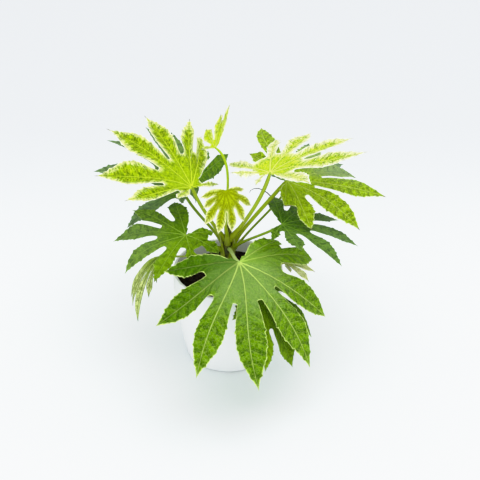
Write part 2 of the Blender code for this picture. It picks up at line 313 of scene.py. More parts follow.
def peat_coat():
    coat, _, place = new_coat("peat", Specular_IOR_Level=0.12)
    clod = place.noise(160, 4, 0.65)
    fibre = place.noise(700, 3, 0.6)
    grain = place.noise(1400, 1).rises(0.66, 0.74)
    tone = clod.rises(0.35, 0.7).mixed((8, 6, 1), (34, 24, 8))
    tone = fibre.rises(0.58, 0.75).layered(0.4, tone, (84, 60, 32))
    tone = grain.layered(0.3, tone, (130, 110, 84))
    return finish_coat(coat, tone, 0.85 + 0.15 * fibre, (clod * 2 + fibre).relief(0.0008))


def bark_coat():
    coat, _, place = new_coat("stem bark", Specular_IOR_Level=0.35)
    patch = place.noise(90, 3, 0.6)
    cork = place.noise(600, 2).rises(0.58, 0.68)
    tone = patch.rises(0.35, 0.65).mixed((58, 62, 2), (104, 112, 6))
    tone = place.axis(2).rises(0.165, 0.180).layered(0.7, tone, (60, 48, 4))
    tone = cork.layered(0.35, tone, (112, 92, 40))
    return finish_coat(coat, tone, 0.5 + 0.25 * cork, (patch + cork).relief(0.0005))


def sheath_coat():
    coat, wire, place = new_coat("leaf sheath", Specular_IOR_Level=0.3)
    cloud = place.noise(160, 3)
    height, aside = wire.given("height"), wire.given("aside")
    # The sheath is darker at its foot, low by the crown, and paler towards its tip.
    paler_upwards = (height + 0.4 * (cloud - 0.5)).rises(0.0, 0.8)
    tone = paler_upwards.mixed((112, 122, 2), (152, 168, 8))
    tone = (aside.rises(0.72, 0.98) * height.rises(0.3, 0.7)).layered(0.6, tone, (84, 66, 20))
    return finish_coat(coat, tone, 0.45 + 0.2 * cloud, cloud.relief(0.0004))


def dry_coat():
    coat, _, place = new_coat("dried tip", Specular_IOR_Level=0.2)
    crumple = place.noise(600, 3)
    tone = crumple.mixed((58, 56, 46), (116, 112, 96))
    return finish_coat(coat, tone, 0.6 + 0.3 * crumple, crumple.relief(0.0004))


wear(floor, floor_coat())
glaze = glaze_coat()
dry = dry_coat()
sheath = sheath_coat()
peat = peat_coat()
bark = bark_coat()
print("coats made:", [coat.name for coat in (glaze, peat, bark, sheath, dry)])

# %% [markdown]
# ## Leaf skin
# A variegated leaf is painted by how its tissue grows, so its own colours follow the leaf and not
# the room. Each point of a blade will carry seven numbers: how far it is along its lobe, how
# far across from the midrib to the edge, its distances from the midrib and from the cut edge
# in millimetres, a count that passes a whole number at each side vein, how much painted shade
# its lobe gets, with painted light below zero, and how much painted sheen, a dull grey that
# stands in for the sky's reflection. From these come the pale ribs, the fine side veins, and
# the cream margin that wanders in and out.
# The marbling could be plain noise, but noise gives round clouds. In a real blade each small
# field between the veins has its own tone, so a mosaic of cells is used, one evenly spread and
# one that is stretched along the side veins. Noise then only breaks up its edges.

# %% The upper face of a leaf
GREEN_SHINE = (0.85, 1.0, 0.08, 1)
# A dull grey-green laid over lobes as a painted sheen: it stands in for the sky's reflection on
# lobes seen at a grazing angle.
PAINTED_SHEEN_TONE = (134, 158, 124)
FIELDS_PER_METRE = 420
NET_PER_METRE = 260
SWELLINGS_PER_METRE = 340
SPECKS_PER_METRE = 800
DRIFT = (38.0, 31.0, 27.0)


def leaf_skin(name, deep, bright, heart, rib, margin, heart_reach=0.35, margin_width=0.6,
              wander=0.5, soft=0.45, middle=0.5, feather=0.7, mosaic_share=1.0,
              edge_light=0.0, quilt=110, shade=0.3, vein_show=0.2, rib_width=0.45, wash=0.0,
              wash_tone=None, wash_width=4.0, tip=None, gloss=0.42, sheen=0.05):
    """The upper face of a leaf. deep and bright mottle its lobes: feather says how much of the
    mottling runs in streaks beside the side veins, quilt how fine the rest is, mosaic_share
    how much the fields differ, middle how large a share is deep, soft how gently the two
    tones meet, and edge_light how much of the bright one gathers near the edge. heart is the
    leaf's middle, up to heart_reach of a lobe, and margin its edge, which strays by wander.
    wash lays a pale zone, wash_width wide in mm, inside the margin. shade sets the painted shade
    in the hollow on the far side of each swelling between two side veins and a painted highlight
    on its crest, and tip is the tone of dry lobe tips. Marks of the points lay a painted shade,
    painted light below zero, and a dull grey painted sheen over whole lobes."""
    coat, wire, place = new_coat(name + " leaf", Specular_IOR_Level=sheen,
                                 Specular_Tint=GREEN_SHINE)
    along, across = wire.given("along"), wire.given("across")
    rib_gap, edge_gap = wire.given("rib_gap"), wire.given("edge_gap")
    count = wire.given("vein_count")
    drift = wire.node("VectorMath", {"operation": "DOT_PRODUCT"},
                      {0: place, 1: DRIFT}, out="Value")
    blotch = place.noise(quilt, 3, 0.6)
    speck = place.noise(SPECKS_PER_METRE, 2, 0.6)
    weave = wire.node("CombineXYZ", {}, {0: count * 11 + 2 * speck, 1: across * 5, 2: drift})
    streak = weave.cells(1.0)
    patchwork = place.cells(FIELDS_PER_METRE)
    mosaic = streak * feather + patchwork * (1 - feather)
    mottle = 0.5 + (mosaic - 0.5) * mosaic_share + (blotch - 0.5) * 0.5 + (speck - 0.5) * 0.5
    mottle = mottle + (across - 0.45 + along.rises(0.82, 1.0)) * edge_light
    patch = mottle.rises(middle - soft, middle + soft)
    tone = patch.mixed(deep, bright)
    phase = (count + 1.6 * (blotch - 0.5) + 0.6 * (speck - 0.5)).fraction()
    swollen = across.rises(0.06, 0.22) * along.rises(0.25, 0.5)
    # Painted shade in the hollow on the far side of each swelling, and a painted highlight on its
    # crest, as a light from above would give them.
    shaded_hollow = phase.rises(0.66, 0.88) * (1 - phase.rises(0.90, 1.0)) * swollen
    lit_crest = phase.rises(0.05, 0.30) * (1 - phase.rises(0.34, 0.60)) * swollen
    tone = lit_crest.layered(0.6 * shade, tone, bright)
    tone = shaded_hollow.layered(shade, tone, deep)
    centre = 1 - (along + 0.5 * (blotch - 0.5)).rises(heart_reach * 0.45, heart_reach)
    tone = centre.layered(0.65, tone, heart)
    vein = (count.fraction() - 0.5).size().rises(0.45, 0.5) * (1 - across.rises(0.6, 0.95))
    tone = vein.layered(vein_show, tone, rib)
    net = wire.node("TexVoronoi", {"feature": "DISTANCE_TO_EDGE"},
                    {"Vector": place, "Scale": NET_PER_METRE})
    net = (1 - net.rises(0.02, 0.16)) * speck.rises(0.35, 0.6)
    tone = net.layered(1.2 * vein_show, tone, rib)
    reach = ((blotch - 0.5) * 2.4 + (streak - 0.5) * 1.2) * wander
    if wash:
        zone = 1 - (edge_gap - reach * wash_width).rises(wash_width * 0.1, wash_width * 1.3)
        tone = (zone * along.rises(0.2, 0.4)).layered(wash, tone, wash_tone)
    midrib = 1 - (rib_gap - rib_width * (1 - 0.6 * along)).rises(0.0, 0.35)
    tone = (midrib * (1 - 0.25 * along)).layered(0.95, tone, rib)
    # Painted shade per lobe: a lobe's tones are deepened where it lies in shade, and lightened
    # with painted light where the amount is below zero.
    tone = wire.given("shady").mixed(tone, deep)
    tone = (0 - wire.given("shady")).mixed(tone, bright)
    pale = 1 - (edge_gap - reach * margin_width).rises(margin_width * 0.5, margin_width * 1.2)
    tone = (pale * along.rises(0.08, 0.2)).mixed(tone, margin)
    if tip:
        tone = along.rises(0.955, 0.985).layered(0.8, tone, tip)
    # Painted sheen: a dull grey laid over lobes, standing in for the sky's reflection at a grazing
    # angle.
    tone = (wire.given("bloom") * along.rises(0.1, 0.6)).mixed(tone, PAINTED_SHEEN_TONE)
    swelling = 1 - place.cells(SWELLINGS_PER_METRE, "Distance")
    height = blotch * 1.2 + swelling * 0.5 + speck * 0.3 - shaded_hollow * 0.8 - midrib * 0.8
    return finish_coat(coat, tone, gloss + 0.14 * blotch + 0.12 * speck, height.relief(0.0010))


print("each coat reads seven numbers of its leaf's points")

# %% [markdown]
# ## Undersides and stalks
# Below, a leaf is matt and paler, and its veins stand out like cords. A stalk is smooth and
# juicy, deeper in tone at its foot. Noise that is stretched along it gives its fine fibres.

# %% The lower face and the stalk
def leaf_underside(name, pale, vein_tone):
    """The lower face: paler, matt, with raised veins."""
    coat, wire, place = new_coat(name + " leaf, below", Specular_IOR_Level=0.25)
    across, rib_gap = wire.given("across"), wire.given("rib_gap")
    count = wire.given("vein_count")
    blotch = place.noise(240, 3)
    midrib = 1 - rib_gap.rises(0.5, 1.1)
    vein = (count.fraction() - 0.5).size().rises(0.40, 0.5) * (1 - across.rises(0.7, 1.0))
    tone = vein.layered(0.6, blotch.mixed(pale, vein_tone), vein_tone)
    tone = midrib.mixed(tone, vein_tone)
    height = midrib * 1.5 + vein * 0.7 + blotch * 0.3
    return finish_coat(coat, tone, 0.55 + 0.2 * blotch, height.relief(0.0006))


def stalk_coat(name, low, high):
    """A leaf stalk: deeper at its foot, smooth and paler higher up, with fine long fibres."""
    coat, wire, place = new_coat(name + " stalk", Specular_IOR_Level=0.4,
                                 Specular_Tint=GREEN_SHINE)
    lengthwise = wire.node("VectorMath", {"operation": "MULTIPLY"},
                           {0: place, 1: (1.0, 1.0, 0.12)})
    fibre = lengthwise.noise(900, 2)
    cloud = place.noise(130, 2)
    tone = (wire.given("along") + 0.5 * (cloud - 0.5)).rises(0.0, 0.6).mixed(low, high)
    tone = fibre.rises(0.35, 0.65).layered(0.25, tone, high)
    return finish_coat(coat, tone, 0.36 + 0.2 * fibre, fibre.relief(0.0002))


print("undersides read the same numbers, stalks only how far along they are")

# %% [markdown]
# ## A skin for each kind of leaf
# The old leaves low on the plant are plain green. The newer and higher a leaf, the paler it is:
# bright green, then lime with a cream edge, and nearly cream where it has only just opened. All
# follow one recipe, so a kind of leaf is one row: its slot, the pale tone and the vein tone
# below, the low and the high tone of its stalk, the five tones above (deep, bright, heart, rib
# and margin), and its amounts. All tones are given as a screen shows them.

# %% Mix the skins
BROWN = (96, 74, 50)
KINDS = {
    "green": (
        "green_leaf", [(120, 152, 70), (156, 186, 96)], [(136, 158, 70), (176, 200, 110)],
        # The plain green leaf's heart tone, a pale grey-green, is a painted sheen on its middle
        # that stands in for the sky's reflection on the glossy blade.
        [(54, 100, 0), (128, 174, 2), (140, 176, 92), (202, 226, 116), (204, 226, 124)],
        dict(heart_reach=0.60, quilt=170, mosaic_share=0.55, soft=0.38, shade=0.5,
             margin_width=0.8, rib_width=0.95, sheen=0.07)),
    "mid green": (
        "dark_leaf", [(108, 144, 66), (146, 178, 92)], [(132, 146, 4), (130, 158, 30)],
        [(54, 94, 0), (128, 168, 8), (76, 118, 0), (150, 190, 60), (154, 184, 80)],
        dict(margin_width=0.35, mosaic_share=0.65, shade=0.35, rib_width=0.6, feather=0.6)),
    "dark": (
        "dark_leaf", [(98, 136, 70), (136, 168, 92)], [(126, 142, 4), (122, 152, 30)],
        [(38, 80, 0), (108, 148, 22), (54, 98, 0), (124, 170, 50), (132, 164, 80)],
        dict(heart_reach=0.3, margin_width=0.3, mosaic_share=0.7, shade=0.45, gloss=0.34,
             vein_show=0.4, feather=0.8, rib_width=0.6)),
    "misty": (
        "dark_leaf", [(112, 146, 84), (146, 176, 104)], [(126, 142, 4), (122, 152, 36)],
        [(50, 96, 0), (112, 150, 12), (76, 120, 0), (128, 168, 70), (146, 174, 104)],
        dict(margin_width=0.3, shade=0.4, gloss=0.34, feather=0.6)),
    "fresh": (
        "fresh_leaf", [(136, 172, 66), (170, 200, 96)], [(136, 150, 2), (152, 176, 30)],
        [(88, 128, 0), (162, 194, 4), (180, 214, 0), (204, 224, 96), (214, 230, 136)],
        dict(margin_width=0.75, mosaic_share=0.8, middle=0.47, quilt=170, vein_show=0.3,
             rib_width=0.7, tip=BROWN, feather=0.35)),
    "variegated": (
        "variegated_leaf", [(190, 214, 90), (220, 234, 130)], [(136, 150, 2), (150, 174, 36)],
        [(96, 136, 0), (176, 200, 6), (160, 188, 0), (204, 224, 50), (242, 246, 218)],
        dict(heart_reach=0.34, margin_width=0.8, wander=0.8, soft=0.36, middle=0.47,
             edge_light=0.1, shade=0.25, vein_show=0.3, rib_width=0.8, wash=0.9,
             wash_tone=(234, 240, 160), wash_width=4.2, tip=BROWN)),
    "creamy": (
        "variegated_leaf", [(216, 228, 140), (232, 240, 170)], [(138, 152, 2), (160, 182, 46)],
        [(132, 168, 0), (206, 222, 30), (184, 208, 6), (226, 236, 116), (245, 248, 228)],
        dict(heart_reach=0.28, margin_width=1.2, wander=0.7, soft=0.36, middle=0.47,
             edge_light=0.1, shade=0.2, vein_show=0.4, rib_width=0.8, wash=0.95,
             wash_tone=(244, 247, 196), wash_width=7.5)),
    "young": (
        "young_leaf", [(184, 204, 90), (214, 226, 130)], [(140, 162, 8), (174, 200, 30)],
        [(160, 188, 4), (198, 218, 24), (190, 212, 4), (212, 228, 90), (238, 242, 190)],
        dict(heart_reach=0.4, margin_width=0.9, wander=1.0, quilt=240, shade=0.0, wash=0.8,
             wash_tone=(230, 238, 150), wash_width=2.5, feather=0.35)),
    "sprout": (
        "young_leaf", [(220, 228, 150), (240, 242, 180)], [(128, 150, 30), (196, 204, 90)],
        [(222, 232, 110), (253, 253, 200), (224, 230, 70), (246, 248, 180), (252, 252, 214)],
        dict(heart_reach=0.4, wander=0.8, quilt=240, feather=0.5, shade=0.2, wash=0.6,
             wash_tone=(252, 252, 206), wash_width=2.0, tip=(120, 112, 92))),
    "pale young": (
        "young_leaf", [(176, 192, 116), (206, 214, 150)], [(128, 146, 40), (170, 184, 90)],
        [(142, 168, 50), (230, 238, 162), (138, 172, 20), (100, 134, 20), (148, 168, 84)],
        dict(heart_reach=0.5, margin_width=0.45, wander=0.8, quilt=240, shade=0.2, vein_show=0.1,
             rib_width=0.7, tip=(92, 96, 84))),
    "umbrella": (
        "young_leaf", [(196, 210, 96), (222, 230, 140)], [(134, 156, 8), (174, 194, 30)],
        [(118, 138, 0), (190, 204, 16), (174, 192, 6), (150, 166, 0), (240, 242, 184)],
        dict(heart_reach=0.25, margin_width=0.9, wander=0.6, soft=0.35, middle=0.42, feather=0.85,
             shade=0.5, vein_show=0.1, rib_width=0.6, wash=0.85, wash_tone=(224, 232, 130),
             wash_width=2.8)),
}
SKINS, UNDERSIDES, STALKS, SLOTS = {}, {}, {}, {}
for kind, (slot, below, stalk, above, amounts) in KINDS.items():
    SKINS[kind] = leaf_skin(kind, *above, **amounts)
    UNDERSIDES[kind] = leaf_underside(kind, *below)
    STALKS[kind] = stalk_coat(kind, *stalk)
    SLOTS[kind] = slot
print("leaf skins:", sorted(SKINS))

# %% [markdown]
# ## The pot
# The pot was slip-cast: an even wall that tapers to a narrower foot, with a soft rounded lip.
# It could be a revolved outline, and pulling one ring of points up and round the outline by
# hand gives the same shape in the way a potter works: up the outside, over the lip, and down
# the inside.

# %% Throw the pot
POT_HEIGHT = 118 * MM
POT_TOP_RADIUS = 65 * MM
POT_FOOT_RADIUS = 51 * MM
POT_SHOULDER = 95 * MM
POT_TAPER_POWER = 1.25
POT_WALL = 3.2 * MM
POT_FLOOR = 6 * MM
FOOT_ROUND = 2.2 * MM
POT_SIDES = 120


def pot_radius(height):
    """Outer radius of the wall, which stands upright above the shoulder."""
    drop = max(POT_SHOULDER - height, 0) / POT_SHOULDER
    return POT_TOP_RADIUS - (POT_TOP_RADIUS - POT_FOOT_RADIUS) * drop ** POT_TAPER_POWER


def pull_ring(outline, sides):
    """Pulls a ring of points through an outline of (radius, height) and closes both ends."""
    deselect_all()
    radius, height = outline[0]
    bpy.ops.mesh.primitive_circle_add(vertices=sides, radius=radius, location=(0, 0, height),
                                      fill_type="NGON")
    piece = bpy.context.object
    bpy.ops.object.mode_set(mode="EDIT")
    for next_radius, next_height in outline[1:]:
        lift = (0, 0, next_height - height)
        bpy.ops.mesh.extrude_region_move(TRANSFORM_OT_translate={"value": lift})
        grow = next_radius / radius
        bpy.ops.transform.resize(value=(grow, grow, 1), center_override=(0, 0, next_height))
        radius, height = next_radius, next_height
    bpy.ops.mesh.select_all(action="SELECT")
    bpy.ops.mesh.normals_make_consistent(inside=False)
    bpy.ops.object.mode_set(mode="OBJECT")
    bpy.ops.object.transform_apply(location=True, rotation=True, scale=True)
    return piece


def pot_outline():
    rounding = np.linspace(0, pi / 2, 6)
    outline = [(POT_FOOT_RADIUS - FOOT_ROUND * (1 - sin(turn)), FOOT_ROUND * (1 - cos(turn)))
               for turn in rounding]
    levels = np.linspace(FOOT_ROUND, POT_HEIGHT - POT_WALL / 2, 26)
    outline += [(pot_radius(level), level) for level in levels[1:-1]]
    lip = POT_WALL / 2
    outline += [(POT_TOP_RADIUS - lip + lip * cos(turn), POT_HEIGHT - lip + lip * sin(turn))
                for turn in np.linspace(0, pi, 13)]
    outline += [(pot_radius(level) - POT_WALL, level) for level in levels[::-1][1:-1]
                if level > POT_FLOOR]
    return outline + [(pot_radius(POT_FLOOR) - POT_WALL, POT_FLOOR)]


def finish_piece(piece, name, node, crease=None):
    """Smooths a finished piece up to its creases, in degrees, names it and lets it stand for
    its node of the frame."""
    select_only(piece)
    if crease:
        bpy.ops.object.shade_smooth_by_angle(angle=radians(crease))
    piece.name = name
    piece.data.name = name
    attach(piece, "root")
    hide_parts(node)


pot = pull_ring(pot_outline(), POT_SIDES)
wear(pot, glaze)
finish_piece(pot, "glazed_pot", "pot", crease=50)
print("pot faces:", len(pot.data.polygons))

# %% [markdown]
# ## Potting soil
# Peat fills the pot to 17 mm under the rim. Its surface is lumpy, with loose crumbs and bits
# of bark. The body of the soil is pulled up as the pot was, with many rings across its top that
# noise lifts into lumps. One small stone-like crumb is made and copied with its own size, turn
# and dents, a few hundred times.

# %% Fill the pot
from mathutils import noise as rough

SOIL_TOP = 101 * MM
SOIL_LUMP = 2.0 * MM
GAP = 0.3 * MM
SOIL_SIDES = 180
SOIL_RINGS = 56
CRUMBS = 340
CRUMB_SIZES, CRUMB_SHARES = [0.7, 1.0, 1.4, 2.3], [0.35, 0.35, 0.22, 0.08]
edge_radius = pot_radius(SOIL_TOP) - POT_WALL - GAP


def soil_lift(x, y):
    """How far the soil's surface stands above its level at a place."""
    lump = rough.noise(Vector((x, y, SOIL_TOP)) * 90) * SOIL_LUMP
    fine = rough.fractal(Vector((x, y, 0)) * 420, 0.7, 2.1, 4) * 1.1 * MM
    fade = min(max((edge_radius - (x * x + y * y) ** 0.5) / (4 * MM), 0), 1)
    return (lump + fine) * fade


def copy_moved(piece, points):
    """A copy of a piece with a mesh of its own, whose points are moved to new places."""
    copy = piece.copy()
    copy.data = piece.data.copy()
    copy.data.vertices.foreach_set("co", np.asarray(points, np.float32).ravel())
    bpy.context.collection.objects.link(copy)
    return copy


levels = np.linspace(POT_FLOOR + GAP, SOIL_TOP, 10)
outline = [(pot_radius(level) - POT_WALL - GAP, level) for level in levels]
outline += [(radius, SOIL_TOP) for radius in np.linspace(edge_radius, 1.0 * MM, SOIL_RINGS)[1:]]
soil = pull_ring(outline, SOIL_SIDES)
for point in soil.data.vertices:
    if point.co.z > SOIL_TOP - 0.01 * MM:
        point.co.z += soil_lift(point.co.x, point.co.y)
select_only(soil)
bpy.ops.object.shade_smooth()

chance = np.random.default_rng(7)
deselect_all()
bpy.ops.mesh.primitive_ico_sphere_add(subdivisions=2, radius=1)
crumb = bpy.context.object
crumb_points = np.array([point.co for point in crumb.data.vertices])
crumbs = []
for number in range(CRUMBS):
    turn = chance.uniform(0, 2 * pi)
    reach = edge_radius * chance.uniform(0.02, 0.93) ** 0.5
    x, y = reach * cos(turn), reach * sin(turn)
    size = MM * chance.choice(CRUMB_SIZES, p=CRUMB_SHARES)
    stretch = np.array([chance.uniform(0.8, 1.7), chance.uniform(0.7, 1.1),
                        chance.uniform(0.5, 0.8)])
    dents = 1 + 0.22 * chance.standard_normal((len(crumb_points), 1))
    shape = crumb_points * stretch * dents * size
    spin = chance.uniform(0, 2 * pi)
    flat = shape[:, :2] @ np.array([[cos(spin), sin(spin)], [-sin(spin), cos(spin)]])
    level = SOIL_TOP + soil_lift(x, y) + 0.2 * size
    moved = np.column_stack([flat[:, 0] + x, flat[:, 1] + y, shape[:, 2] + level])
    crumbs.append(copy_moved(crumb, moved))
bpy.data.objects.remove(crumb)
select_only(soil, *crumbs)
bpy.ops.object.join()
wear(soil, peat)
finish_piece(soil, "potting_soil", "soil")
print("crumbs on the soil:", len(crumbs))

# %% [markdown]
# ## How one leaf is laid out
# A leaf is described the way a botanist would: where its stalk meets the blade (the hub),
# which way the blade faces, and for each lobe its angle, length, fall and sway. A blade point is
# named by how far it is along a lobe's midrib and how far aside from it. The function `on_blade`
# bends that flat layout into the arched, folded leaf.

# %% Describe a leaf
HABIT = dict(fold=0.22, width=0.115, notch=0.37, teeth=True, arrive=None, pucker=0.5,
             vein_gap=12, bay=2.2, shady=0, bloom=0, clasp=0.8, point=1.25)


def plan(name, hub, turn, pitch, roll, lobes, **habit):
    """One leaf: hub in mm, the blade's turn, pitch and roll in degrees, and each lobe as
    (angle, length in mm, fall, sway). root is the height where the stalk leaves the stem,
    stalk its radius, pucker how far the blade swells between its side veins, vein_gap the
    distance between those veins, and bay the radius of the round notches, all in mm. width is
    half a lobe's breadth and notch where the cut between two lobes ends, as shares of their
    length, and fold is the slope of a lobe's halves beside the midrib. arrive is the direction
    in which the stalk comes into the hub, where it arches over. Two amounts say, for each lobe,
    how much painted shade deepens its tones, with painted light below zero, and how much painted
    sheen, a dull grey that stands in for the sky's reflection, lies over it. clasp is how far
    the stalk swells where it holds the stem, and point how far the lobes draw out into thin tips."""
    leaf = {"name": name, "hub": np.array(hub) * MM, "turn": turn, "pitch": pitch, "roll": roll,
            **HABIT, **habit}
    for key, column in zip(("angles", "lengths", "falls", "sways"), np.array(lobes, float).T):
        leaf[key] = column
    for key in ("lengths", "root", "stalk", "pucker", "vein_gap", "bay"):
        leaf[key] = leaf[key] * MM
    for key in ("width", "shady", "bloom"):
        leaf[key] = np.zeros(len(lobes)) + leaf[key]
    leaf["notch"] = np.zeros(len(lobes) - 1) + leaf["notch"]
    return leaf


print("what a leaf has unless it says otherwise:", sorted(HABIT))

# %% [markdown]
# ## Thirteen leaves
# Each leaf of the plant is written down by that rule, from the big one over the front rim
# round to the one half hidden at the back. Its lobes are listed in turn, right to left as seen
# from the hub towards the middle lobe.

# %% Write down the leaves
LEAVES = [
    plan("leaf_front", (13, -56, 163), -59, -30, -7,
         [(-103, 90, 36, 2), (-73, 130, 37, 2), (-44, 153, 35, -4), (-16, 153, 34, -5),
          (15, 146, 39, 2), (46, 127, 40, -1), (84, 117, 41, 2), (103, 69, 25, 2)],
         root=142, stalk=2.0, skin="green", pucker=1.5, vein_gap=14, bay=3.2, clasp=0.2,
         width=[0.13, 0.105, 0.108, 0.114, 0.118, 0.135, 0.125, 0.14],
         notch=[0.44, 0.435, 0.38, 0.35, 0.36, 0.42, 0.68],
         shady=[0.75, 0.55, 0.2, 0.2, 0.1, 0, -0.5, -0.4]),
    plan("leaf_front_lower", (26, -55, 134), -56, -25, -18,
         [(-91, 51, 34, 0), (-54, 72, 18, 7), (-19, 113, 39, 0), (4, 110, 41, -3),
          (41, 103, 44, 0), (75, 93, 47, -2)],
         root=119, stalk=2.0, skin="mid green", shady=[0, 0, -0.5, -0.3, 0.1, 0.1],
         width=[0.115, 0.09, 0.09, 0.14, 0.115, 0.115], notch=[0.37, 0.37, 0.57, 0.37, 0.37]),
    plan("leaf_left", (-48, -18, 175), 225, -11, -3,
         [(-122, 77, 34, 0), (-80, 78, 8, -4), (-56, 93, 37, -3), (-19, 85, 44, -8),
          (15, 75, 32, 0), (56, 45, 42, 0), (101, 47, 40, 0), (142, 32, 25, 0)],
         root=136, stalk=1.9, point=1.45, skin="mid green",
         shady=[0.3, 0.1, 0, 0, -0.3, -0.2, 0, 0],
         bloom=[0, 0.1, 0.25, 0.2, 0, 0, 0, 0],
         width=[0.13, 0.115, 0.115, 0.115, 0.115, 0.115, 0.15, 0.20],
         notch=[0.34, 0.37, 0.37, 0.37, 0.37, 0.58, 0.68]),
    plan("leaf_left_young", (-80, 0, 134), -141, -41, 15,
         [(-28, 74, 50, 5), (-16, 76, 51, 0), (4, 85, 52, 0), (25, 53, 32, 0), (38, 36, 31, 0)],
         root=120, stalk=1.3, skin="pale young", width=0.105, notch=0.30, teeth=False, pucker=0.3,
         bay=0.8),
    plan("leaf_top_left", (-41, 9, 223), 140, 27, 8,
         [(-104, 44, 26, -1), (-55, 97, 17, -1), (-42, 102, -1, 2), (-15, 115, 16, 0),
          (14, 121, 21, -1), (45, 115, 42, 4), (72, 90, 33, 3), (98, 34, 14, 0)],
         root=151, stalk=2.2, point=1.7, skin="variegated", pucker=0.7,
         width=[0.07, 0.10, 0.10, 0.11, 0.118, 0.145, 0.12, 0.16],
         notch=[0.22, 0.55, 0.43, 0.36, 0.37, 0.37, 0.37]),
    plan("leaf_back_left", (-54, 64, 186), 139, 32, 10,
         [(-133, 30, 73, 2), (-81, 114, 15, 0), (-69, 98, 20, 0), (-38, 100, 22, 1),
          (-17, 103, 22, -3), (13, 113, 36, -4), (49, 114, 30, -4), (86, 91, 88, 0),
          (129, 24, 10, 0)],
         root=139, stalk=1.9, skin="misty",
         bloom=[0.3, 0, 0, 0.3, 0.5, 0.5, 0.5, 0.5, 0.5],
         width=[0.115, 0.09, 0.07, 0.10, 0.06, 0.065, 0.09, 0.078, 0.115]),
    plan("leaf_top_young", (-14, 30, 263), 74, 22, -22,
         [(-13, 55, -15, 2), (5, 48, 3, 0), (35, 34, 1, 1), (84, 22, 27, -2)],
         root=157, stalk=1.6, skin="young", width=[0.07, 0.105, 0.24, 0.12],
         notch=[0.70, 0.30, 0.30], teeth=False, arrive=(-0.8, 0, 0.6), pucker=0.2, bay=0.4),
    plan("leaf_centre_young", (-2, -20, 236), -62, -59, -11,
         [(-90, 36, 14, -3), (-71, 38, 13, -3), (-52, 50, 15, -3), (-28, 51, 17, -3),
          (-5, 48, 22, 2), (22, 44, 26, 4), (51, 40, 24, 2), (81, 26, 20, 1)],
         root=158, stalk=1.2, skin="umbrella", width=0.125, notch=0.50, teeth=False, pucker=0.3,
         vein_gap=5, bay=0.4),
    plan("leaf_top_right", (48, -12, 254), 71, 6, -19,
         [(-116, 66, 22, 2), (-83, 118, 13, -5), (-49, 106, 26, -5), (-12, 95, 26, -3),
          (16, 99, 30, -1), (60, 80, 22, 6), (91, 49, -1, 0), (128, 22, 51, 0)],
         root=154, stalk=2.4, point=1.6, skin="creamy", pucker=0.6,
         width=[0.13, 0.112, 0.124, 0.125, 0.065, 0.10, 0.10, 0.30]),
    plan("leaf_right", (68, 17, 227), 18, -8, 9,
         [(-111, 45, 25, 0), (-82, 75, 40, -3), (-48, 104, 34, 2), (-15, 120, 21, 0),
          (15, 111, 39, 0), (48, 108, 33, 0), (86, 119, 26, 6), (115, 65, 23, 0)],
         root=144, stalk=2.4, skin="fresh", pucker=0.6,
         width=[0.13, 0.135, 0.13, 0.128, 0.125, 0.11, 0.095, 0.19],
         notch=[0.74, 0.37, 0.29, 0.37, 0.37, 0.37, 0.37],
         shady=[-0.5, -0.3, 0, 0, 0, 0, 0, 0],
         bloom=[0, 0, 0, 0, 0.6, 0.4, 0, 0]),
    plan("leaf_right_lower", (62, -30, 197), -3, -8, -5,
         [(-106, 41, 22, 0), (-72, 70, 7, 0), (-34, 88, 38, 0), (0, 92, 33, 0), (34, 82, 26, 0),
          (67, 85, 27, 0), (100, 82, 24, 0)],
         root=140, stalk=1.6, point=1.45, skin="dark", bloom=[0, 0.1, 0.15, 0.25, 0.3, 0.3, 0],
         width=[0.115, 0.12, 0.11, 0.11, 0.105, 0.115, 0.115]),
    plan("leaf_right_young", (66, -15, 134), -13, -16, -7,
         [(-53, 18, 23, 0), (-18, 37, 34, 0), (19, 40, 26, 0), (55, 40, 32, 0)],
         root=114, stalk=1.2, skin="sprout", width=0.16, notch=0.36, teeth=False, pucker=0.2,
         bay=0.6),
    plan("leaf_back_right", (75, 70, 192), 61, 18, 4,
         [(-74, 30, 30, 0), (-34, 75, 32, 0), (8, 73, 23, 0), (39, 64, 31, 0), (73, 49, 28, 0)],
         root=128, stalk=1.5, skin="dark", bloom=0.7),
]
print("leaves:", len(LEAVES), "lobes:", sum(len(leaf["angles"]) for leaf in LEAVES))

# %% [markdown]
# ## Bending the flat leaf
# A midrib leaves the hub at a small rise and falls evenly towards its tip, so it is an arc. The
# falls, lengths and sways are eased from lobe to lobe, which keeps the web between them smooth.

# %% From the flat leaf to the arched blade
RISE = 8
BASE_GAP = 28
BASE_REACH = 0.12


def blade_axes(leaf):
    """The blade's heading, its left side and its upper face as three unit vectors."""
    turn, pitch, roll = radians(leaf["turn"]), radians(leaf["pitch"]), radians(leaf["roll"])
    heading = np.array([cos(turn) * cos(pitch), sin(turn) * cos(pitch), sin(pitch)])
    level_left = np.array([-sin(turn), cos(turn), 0])
    level_up = np.cross(heading, level_left)
    left = level_left * cos(roll) + level_up * sin(roll)
    up = level_up * cos(roll) - level_left * sin(roll)
    return heading, left, up


def between_lobes(leaf, angle, values):
    """A value that each lobe has one of, eased from lobe to lobe as the angle goes round."""
    values = np.asarray(values, float)
    place = np.interp(angle, leaf["angles"], np.arange(len(values)))
    low = np.minimum(place.astype(int), len(values) - 2)
    ease = place - low
    ease = ease * ease * (3 - 2 * ease)
    return values[low] + (values[low + 1] - values[low]) * ease


